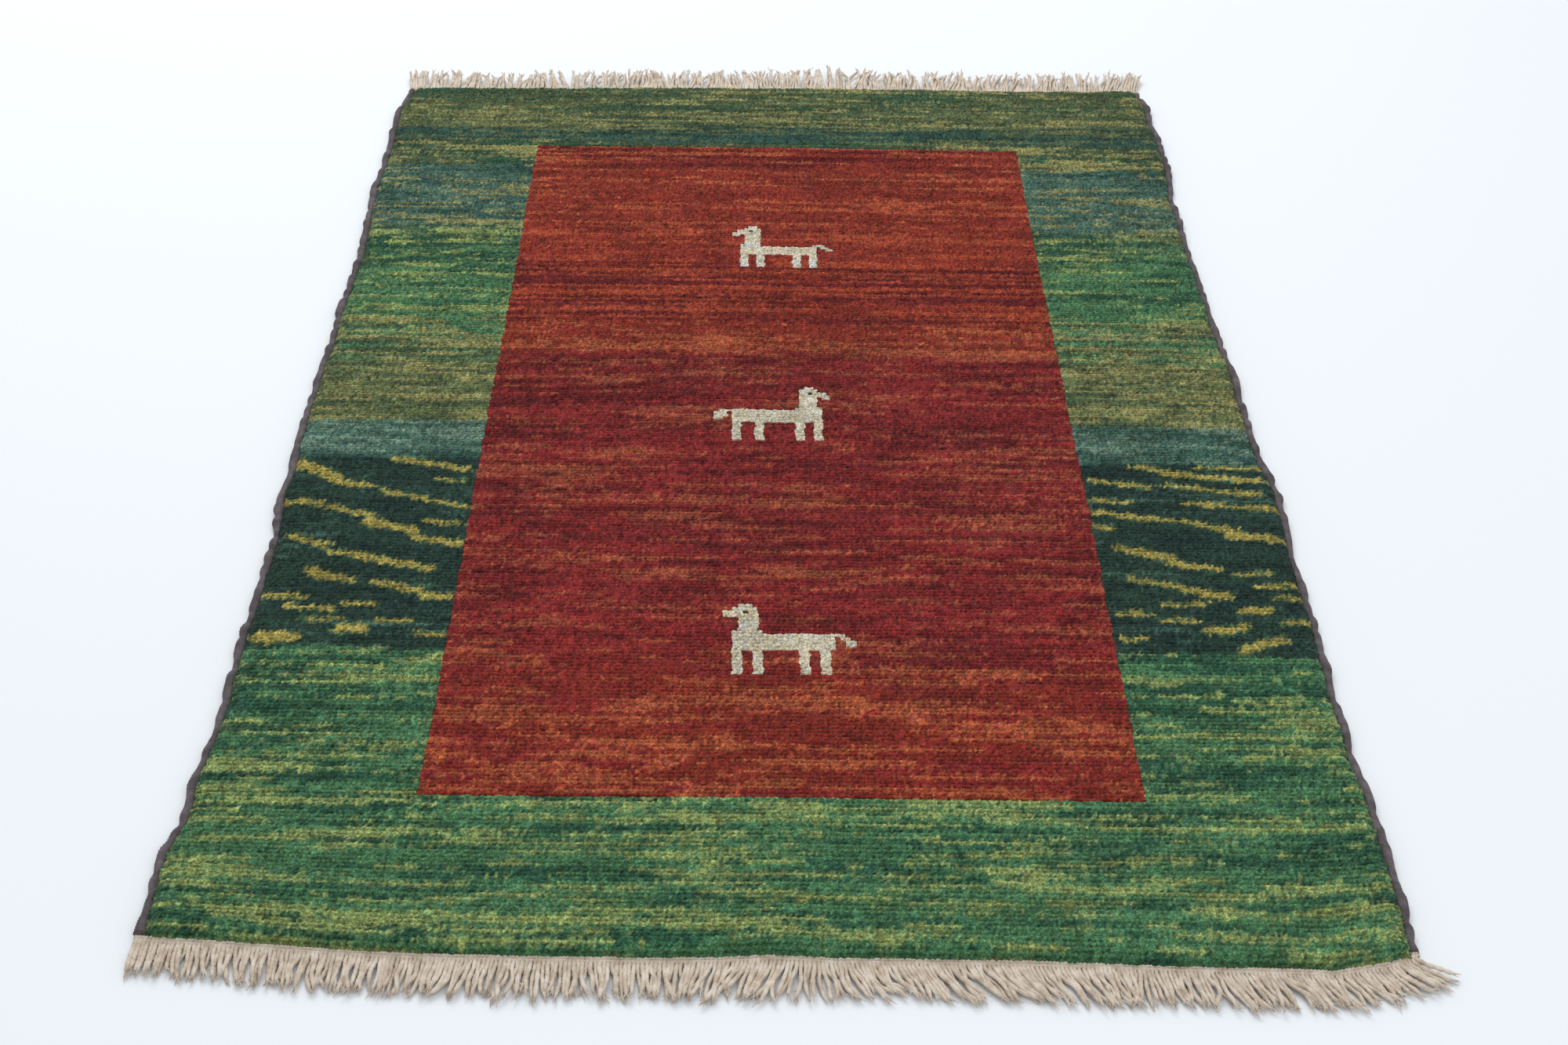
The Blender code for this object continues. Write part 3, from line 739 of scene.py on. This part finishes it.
# Spun yarn: matt undyed wool, or dark overcasting yarn, lighter on the crowns of its plies
def yarnMaterial(name, s):
    material = newMaterial(name)
    tree = material.node_tree
    spot = addNode(tree, "ShaderNodeTexCoord")
    blotch = addNode(tree, "ShaderNodeTexNoise", {"noise_dimensions": "3D"}, {
        "Vector": spot.outputs["Object"], "Scale": 1.0 / (s["blotch"] * mm), "Detail": 3.0})
    toned = addNode(tree, "ShaderNodeValToRGB", links={"Fac": blotch.outputs["Fac"]})
    fillRamp(toned.color_ramp, [(stop, linearColour(text)) for stop, text in s["tones"]])
    fibres = addNode(tree, "ShaderNodeTexNoise", {"noise_dimensions": "3D"}, {
        "Vector": spot.outputs["Object"], "Scale": 1.0 / (s["fibre"] * mm), "Detail": 2.0, "Roughness": 0.7})
    speckle = mapRange(tree, fibres.outputs["Fac"], 0.3, 0.7, s["dark"], s["light"])
    tinted = addNode(tree, "ShaderNodeHueSaturation", links={
        "Value": speckle.outputs[0], "Color": toned.outputs["Color"]})
    bump = addNode(tree, "ShaderNodeBump", links={
        "Height": fibres.outputs["Fac"], "Strength": 0.8, "Distance": 0.7 * mm})
    finishMaterial(tree, {
        "Base Color": tinted.outputs[0], "Roughness": s["roughness"],
        "Specular IOR Level": 0.2, "Sheen Weight": s["sheen"], "Normal": bump.outputs[0]})
    return material


undyedYarn = {
    "tones": ((0.30, "b9a894"), (0.50, "cfc0ae"), (0.70, "e0d5c6")),
    "blotch": 9.0, "fibre": 0.8, "dark": 0.74, "light": 1.16, "roughness": 0.9, "sheen": 0.06,
}
overcastYarn = {
    "tones": ((0.30, "453e40"), (0.50, "564f51"), (0.72, "6c6466")),
    "blotch": 12.0, "fibre": 0.8, "dark": 0.6, "light": 1.4, "roughness": 0.88, "sheen": 0.05,
}
warpWool = yarnMaterial("undyedWarpWool", undyedYarn)
darkWool = yarnMaterial("charcoalOvercastWool", overcastYarn)


# Side cords: outer warps overcast with dark yarn, the turns lying slantwise
sideCord = {
    "turnWide": 3.1 * mm,      # one overcast turn along the cord
    "starts": 3,
    "ringStep": 1.0 * mm,
    "sides": 10,
    "turnDepth": 0.10,
    "lump": 2.0 * mm,
    "lumpLong": 11,            # rings
}


def makeSideCord(name, node, side, s):
    tree = solidTree(node)
    low, high = (Vector(c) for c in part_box(node))
    stations = np.linspace(low.y + 4 * mm, high.y - 4 * mm, 320)
    height = (high.z - low.z) / 2
    outer = edgeLine(tree, "y", stations, height, side)
    inner = edgeLine(tree, "y", stations, height, -side)
    y = np.arange(low.y + 0.5 * mm, high.y - 0.5 * mm, s["ringStep"])
    outerX = np.interp(y, stations, outer)
    innerX = np.interp(y, stations, inner)
    radius = np.abs(outerX - innerX) / 2
    wobble = softNoise((len(y), 4), (s["lumpLong"], 2), 20 + side)[:, 1] * s["lump"]
    radius = radius + 0.5 * wobble
    centre = (outerX + innerX) / 2 + side * 0.5 * wobble
    paths = np.stack([centre, y, radius * 0.96], axis=-1)[None]
    turns = (y / (s["turnWide"] * s["starts"]) * -side + 0.12 * np.sin(y / 0.011))[None]
    points, faces = yarnMesh(paths, radius[None], s["sides"], s["starts"], s["turnDepth"], turns)
    points[:, 2] = np.maximum(points[:, 2], 0.1 * mm)
    cord = buildMesh(name, points, faces, darkWool)
    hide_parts(node)
    return cord


cordLeft = makeSideCord("overcastCordLeft", "side_cord_left", -1, sideCord)
cordRight = makeSideCord("overcastCordRight", "side_cord_right", 1, sideCord)
print("side cords overcast")


# Fringe: warp ends, two plies each, hanging out of a band with two twined rows
fringe = {
    "warpPitch": 3.3 * mm,
    "yarnRadius": 1.75 * mm,
    "plyPitch": 8.0 * mm,
    "plyDepth": 0.28,
    "rings": 15,
    "sides": 8,
    "frays": 9,
    "frayLong": 6.0 * mm,
    "twineRadius": 1.4 * mm,
    "twinePitch": 6.0 * mm,
    "twineStep": 0.95 * mm,
    "bandWide": 7.0 * mm,
    "bandHigh": 3.4 * mm,
    "calmCorner": 30 * mm,
    "cordRoom": 8.6 * mm,      # the band runs on past the cloth to the cords' outer sides
    "faceHeight": 4.2 * mm,    # where the band's face against the cloth is read
    "strays": (4.0, 3.5, 13, 9),      # degrees: a pair's lean, a yarn's own, its bend and its kink
    "humpHigh": 3.0 * mm,
    "rootSink": 0.4 * mm,      # how far the roots lie below the band's top
    "layerRise": (1.3 * mm, 0.7 * mm),    # every other yarn lies on its neighbours, and a random rise
    "bandGap": 0.3 * mm,
    "bandLip": (2.6 * mm, 1.6 * mm),      # the band's height at the cloth and at its free edge
    "underBand": 0.16,         # share of a yarn's reach, added to it, that lies under the band
    "frayRadii": (0.85, 0.7, 0.5, 0.12),  # mm, root to tip
    "frayShares": (0.0, 0.35, 0.7, 1.0),
    "twinedRows": ((1.7, 4.1, 1), (4.5, 3.7, -1)),    # mm off the cloth, mm up, twist
}
frontLie = (               # x of the root, lean towards +X in degrees, length beyond the band in mm
    (-0.511, -3, 26), (-0.461, 0, 29), (-0.411, 4, 30), (-0.351, -3, 30), (-0.301, -4, 29),
    (-0.261, -18, 32), (-0.221, -8, 33), (-0.161, 2, 29), (-0.111, 4, 30), (-0.081, -9, 32),
    (-0.041, -23, 34), (-0.006, -22, 37), (0.014, 0, 34), (0.039, 20, 32), (0.069, 34, 34),
    (0.129, 38, 38), (0.189, 34, 38), (0.239, 22, 35), (0.269, 7, 31), (0.299, 9, 30), (0.329, 26, 33),
    (0.369, 34, 36), (0.409, 30, 32), (0.439, 34, 32), (0.464, 42, 34), (0.479, 56, 34), (0.493, 74, 30),
)
backLie = (
    (-0.501, -10, 39), (-0.441, 8, 42), (-0.391, -6, 36), (-0.341, 10, 39), (-0.296, -14, 50),
    (-0.266, -4, 40), (-0.226, 10, 46), (-0.161, -8, 42), (-0.101, 7, 39), (-0.041, -5, 42),
    (0.019, 4, 43), (0.074, -6, 54), (0.119, 8, 43), (0.179, -4, 42), (0.229, 14, 46), (0.289, 6, 42),
    (0.339, 16, 43), (0.389, 0, 42), (0.429, 13, 44), (0.480, 15, 48),
)


def makeFringe(name, node, end, lie, lift, frayRise, f):
    tree = solidTree(node)
    low, high = (Vector(c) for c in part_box(node))
    left = edges["left"][1][0 if end < 0 else -1] - f["cordRoom"]
    right = edges["right"][1][0 if end < 0 else -1] + f["cordRoom"]
    stations = np.linspace(left + 1 * mm, right - 1 * mm, 260)
    inner = edgeLine(tree, "x", stations, f["faceHeight"], -end)
    x = np.arange(left + f["yarnRadius"], right - f["yarnRadius"], f["warpPitch"])
    x = x + rng.uniform(-0.25, 0.25, len(x)) * mm
    count = len(x)
    innerY = np.interp(x, stations, inner)
    table = np.array(lie, dtype=float)
    lean = np.interp(x, table[:, 0], table[:, 1])
    reach = np.interp(x, table[:, 0], table[:, 2]) * mm
    lock = np.repeat(rng.normal(0, 1, count), 2)[:count]          # neighbours often cling in pairs
    calm = np.clip(np.minimum(x - x[0], x[-1] - x) / f["calmCorner"], 0.15, 1.0)    # corners stay together
    pairLean, ownLean, bendSpread, kinkSpread = f["strays"]
    lean = np.radians(lean + calm * (pairLean * lock + rng.normal(0, ownLean, count)))
    reach = reach * (1.0 + 0.07 * lock + rng.normal(0, 0.06, count))
    share = np.linspace(0.0, 1.0, f["rings"])
    hidden = f["underBand"]
    run = np.maximum(share * (1.0 + hidden) - hidden, 0.0)     # the first part lies under the band
    bend = np.radians(rng.normal(0, bendSpread, count)) * calm
    kink = np.radians(rng.normal(0, kinkSpread, count)) * calm
    angle = lean[:, None] * (0.35 + 0.65 * np.minimum(1.0, run / 0.45))[None, :]
    angle = angle + bend[:, None] * (run ** 2)[None, :]
    angle = angle + kink[:, None] * np.sin(run * 7.0 + 2.0)[None, :]
    step = np.diff(run, prepend=0.0)[None, :] * reach[:, None]
    pathX = x[:, None] + np.cumsum(step * np.sin(angle), axis=1)
    out = np.cumsum(step * np.cos(angle), axis=1)
    hiddenShare = hidden / (1.0 + hidden)
    under = np.where(share < hiddenShare, share / hiddenShare, 1.0) * f["bandWide"]
    pathY = innerY[:, None] + end * (f["bandGap"] + under[None, :] + out)
    rise = rng.uniform(0, 1, count) ** 2
    hump = np.sin(np.minimum(run, 1.0) * math.pi)[None, :] * rise[:, None] * f["humpHigh"]
    rootRise = f["bandHigh"] - f["rootSink"] - f["yarnRadius"]
    rootDrop = rootRise * (1 - np.minimum(1.0, run / 0.3))[None, :]
    tipHeight = lift[0] + (lift[1] - lift[0]) * rng.uniform(0, 1, count) ** 1.5
    tipLift = (run ** 2)[None, :] * tipHeight[:, None]
    everyOther, stray = f["layerRise"]
    layer = (np.arange(count) % 2 * everyOther + rng.uniform(0, 1, count) * stray)[:, None]
    layer = layer * np.minimum(1.0, run / 0.2)
    pathZ = f["yarnRadius"] * 1.1 + rootDrop + hump + tipLift + layer
    radius = np.full((count, f["rings"]), f["yarnRadius"])
    radius *= (1.0 - 0.45 * np.clip((share - 0.8) / 0.2, 0, 1) ** 2)[None, :]
    radius *= rng.uniform(0.88, 1.1, count)[:, None]
    paths = np.stack([pathX, pathY, pathZ], axis=-1)
    turns = share[None, :] * (reach[:, None] + f["bandWide"]) / f["plyPitch"]
    turns = turns + rng.uniform(0, 1, count)[:, None]
    points, faces = yarnMesh(paths, radius, f["sides"], 2, f["plyDepth"], turns)
    # frayed tips: thin spikes that leave each yarn's end
    frays = f["frays"]
    ring = rng.integers(f["rings"] * 6 // 10, f["rings"] - 1, count * frays)
    ring[::2] = f["rings"] - 2
    yarn = np.repeat(np.arange(count), frays)
    root = paths[yarn, ring]
    tipWay = paths[yarn, ring + 1] - paths[yarn, ring - 1]
    tipWay /= np.linalg.norm(tipWay, axis=1, keepdims=True)
    spread = rng.normal(0, 0.28, (len(root), 3))
    spread[:, 2] = rng.uniform(*frayRise, len(root))
    way = tipWay + spread
    length = (f["frayLong"] * rng.uniform(0.5, 1.4, len(root)))[:, None, None]
    along = np.array(f["frayShares"])[None, :, None]
    frayPaths = root[:, None, :] + way[:, None, :] * along * length
    frayPaths[:, :, 2] = np.maximum(frayPaths[:, :, 2], 0.5 * mm)
    frayRadius = np.tile(np.array(f["frayRadii"])[None, :] * mm, (len(root), 1))
    frayPoints, frayFaces = yarnMesh(frayPaths, frayRadius, 3, 1, 0.0, np.zeros(frayRadius.shape))
    faces = faces + [[i + len(points) for i in face] for face in frayFaces]
    points = np.concatenate([points, frayPoints])
    points[:, 2] = np.maximum(points[:, 2], 0.05 * mm)
    yarns = buildMesh(name + "WarpEnds", points, faces, warpWool)
    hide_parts(node)
    # the flat band under the warps, and two twined rows over them with opposite twists
    edgeX = np.linspace(left, right, 180)
    edgeY = np.interp(edgeX, stations, inner)
    near, wide = f["bandGap"], f["bandWide"]
    innerHigh, outerHigh = f["bandLip"]
    profile = ((near, 0.0), (wide, 0.0), (wide, outerHigh), (near, innerHigh))
    rings = [[(px, py + end * away, up) for away, up in profile] for px, py in zip(edgeX, edgeY)]
    ringPoints = np.array(rings).reshape(-1, 3)
    sides = len(profile)
    bandFaces = []
    for i in range(len(edgeX) - 1):
        for j in range(sides):
            a, b = i * sides + j, i * sides + (j + 1) % sides
            bandFaces.append([a, b, b + sides, a + sides] if end > 0 else [a, a + sides, b + sides, b])
    first = list(range(sides))
    last = list(range(len(ringPoints) - sides, len(ringPoints)))
    bandFaces += [first[::-1], last] if end > 0 else [first, last[::-1]]
    band = buildMesh(name + "Band", ringPoints, bandFaces, warpWool, smooth=False)
    twineX = np.arange(left, right, f["twineStep"])
    twineY = np.interp(twineX, stations, inner)
    rows = []
    for away, up, twist in f["twinedRows"]:
        wobble = softNoise((len(twineX), 4), (9, 2), int(90 + away + end))[:, 1] * 0.3 * mm
        path = np.stack([twineX, twineY + end * away * mm + wobble, np.full(len(twineX), up * mm)], axis=-1)
        radii = np.full((1, len(twineX)), f["twineRadius"])
        rows.append(yarnMesh(path[None], radii, 8, 2, 0.42, (twist * twineX / f["twinePitch"])[None]))
    twinePoints = np.concatenate([rows[0][0], rows[1][0]])
    twineFaces = rows[0][1] + [[i + len(rows[0][0]) for i in face] for face in rows[1][1]]
    twine = buildMesh(name + "TwinedRows", twinePoints, twineFaces, warpWool)
    return [yarns, band, twine]


# the last two pairs are the least and most rise of a yarn's tip and of a fray
frontPieces = makeFringe("front", "fringe_front", -1, frontLie, (0.0, 1.5 * mm), (-0.10, 0.14), fringe)
backPieces = makeFringe("back", "fringe_back", 1, backLie, (2.0 * mm, 9.0 * mm), (-0.05, 0.30), fringe)
print("fringes hung")


# Foundation: the thin woven ground that the knots are tied on, seen from below
foundation = {
    "thick": 2.4 * mm,
    "inset": 0.8 * mm,
    "lift": 0.15 * mm,
    "weftShare": 0.30,     # share of a row's pitch that is bare weft
    "weftHex": "6b4a3a",
}


def foundationMaterial(s):
    # knot backs: the same wool seen as flat little bars between rows of brown weft
    material = newMaterial("knottedUnderside")
    tree = material.node_tree
    spot = addNode(tree, "ShaderNodeTexCoord")
    grid = addNode(tree, "ShaderNodeVectorMath", {"operation": "MULTIPLY"}, {
        0: spot.outputs["Object"], 1: (1.0 / pile["knotWide"], 1.0 / pile["knotLong"], 0.0)})
    cell = addNode(tree, "ShaderNodeVectorMath", {"operation": "FLOOR"}, {0: grid.outputs[0]})
    inCell = addNode(tree, "ShaderNodeVectorMath", {"operation": "FRACTION"}, {0: grid.outputs[0]})
    parts = addNode(tree, "ShaderNodeSeparateXYZ", links={0: inCell.outputs[0]})
    perKnot = addNode(tree, "ShaderNodeTexWhiteNoise", {"noise_dimensions": "3D"}, {
        "Vector": cell.outputs[0]})
    place = addNode(tree, "ShaderNodeSeparateXYZ", links={0: spot.outputs["Object"]})
    length = clothHigh.y - clothLow.y
    share = mapRange(tree, place.outputs["Y"], clothLow.y, clothHigh.y, 0.0, 1.0)
    grounds = []
    for lots in (borderLots, fieldLots):
        stops = [min(max((lot[0] - clothLow.y) / length, 0.0), 1.0) for lot in lots]
        ramp = addNode(tree, "ShaderNodeValToRGB", links={"Fac": share.outputs[0]})
        fillRamp(ramp.color_ramp, [(stop, linearColour(dyes[lot[1]])) for stop, lot in zip(stops, lots)])
        grounds.append(ramp)
    inside = 1.0
    for socket, operation, limit in (("X", "GREATER_THAN", "left"), ("X", "LESS_THAN", "right"),
                                     ("Y", "GREATER_THAN", "front"), ("Y", "LESS_THAN", "back")):
        test = addNode(tree, "ShaderNodeMath", {"operation": operation}, {
            0: place.outputs[socket], 1: pile["field"][limit]})
        both = addNode(tree, "ShaderNodeMath", {"operation": "MULTIPLY"}, {0: inside, 1: test.outputs[0]})
        inside = both.outputs[0]
    wool = addNode(tree, "ShaderNodeMix", {"data_type": "RGBA"}, {
        0: inside, 6: grounds[0].outputs["Color"], 7: grounds[1].outputs["Color"]})
    tone = mapRange(tree, perKnot.outputs["Value"], 0.0, 1.0, 0.75, 1.2)
    toned = addNode(tree, "ShaderNodeHueSaturation", links={
        "Value": tone.outputs[0], "Color": wool.outputs[2]})
    weft = addNode(tree, "ShaderNodeMath", {"operation": "GREATER_THAN"}, {
        0: parts.outputs["Y"], 1: 1.0 - s["weftShare"]})
    woven = addNode(tree, "ShaderNodeMix", {"data_type": "RGBA"}, {
        0: weft.outputs[0], 6: toned.outputs[0], 7: linearColour(s["weftHex"])})
    barX, barY = (addNode(tree, "ShaderNodeMath", {"operation": "PINGPONG"}, {
        0: parts.outputs[axis], 1: 0.5}) for axis in ("X", "Y"))
    relief = addNode(tree, "ShaderNodeMath", {"operation": "MULTIPLY"}, {
        0: barX.outputs[0], 1: barY.outputs[0]})
    bump = addNode(tree, "ShaderNodeBump", links={
        "Height": relief.outputs[0], "Strength": 0.8, "Distance": 1.5 * mm})
    finishMaterial(tree, {
        "Base Color": woven.outputs[2], "Roughness": 0.9, "Specular IOR Level": 0.2,
        "Normal": bump.outputs[0]})
    return material


def makeFoundation(s):
    along = np.linspace(0.0, 1.0, 150)
    across = np.linspace(0.0, 1.0, 60)
    y0 = clothLow.y + (clothHigh.y - clothLow.y) * along
    x = np.zeros((len(along), len(across)))
    y = np.tile(y0[:, None], (1, len(across)))
    for _ in range(4):
        left = edgeAt("left", y) + s["inset"]
        right = edgeAt("right", y) - s["inset"]
        x = left + (right - left) * across[None, :]
        front = edgeAt("front", x) + s["inset"]
        back = edgeAt("back", x) - s["inset"]
        y = front + (back - front) * along[:, None]
    upper = np.stack([x, y, np.full(x.shape, s["thick"])], axis=-1).reshape(-1, 3)
    lower = np.stack([x, y, np.full(x.shape, s["lift"])], axis=-1).reshape(-1, 3)
    rows, columns = x.shape
    corner = (np.arange(rows - 1)[:, None] * columns + np.arange(columns - 1)[None, :]).reshape(-1)
    quads = np.stack([corner, corner + 1, corner + columns + 1, corner + columns], axis=-1)
    faces = quads.tolist() + (quads[:, ::-1] + len(upper)).tolist()
    rim = ([(0, j) for j in range(columns)] + [(i, columns - 1) for i in range(1, rows)]
           + [(rows - 1, j) for j in range(columns - 2, -1, -1)] + [(i, 0) for i in range(rows - 2, 0, -1)])
    ids = [i * columns + j for i, j in rim]
    for a, b in zip(ids, ids[1:] + ids[:1]):
        faces.append([b, a, a + len(upper), b + len(upper)])
    cloth = buildMesh("wovenFoundation", np.concatenate([upper, lower]), faces,
                      foundationMaterial(s), smooth=False)
    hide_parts("pile_rug")
    return cloth


cloth = makeFoundation(foundation)
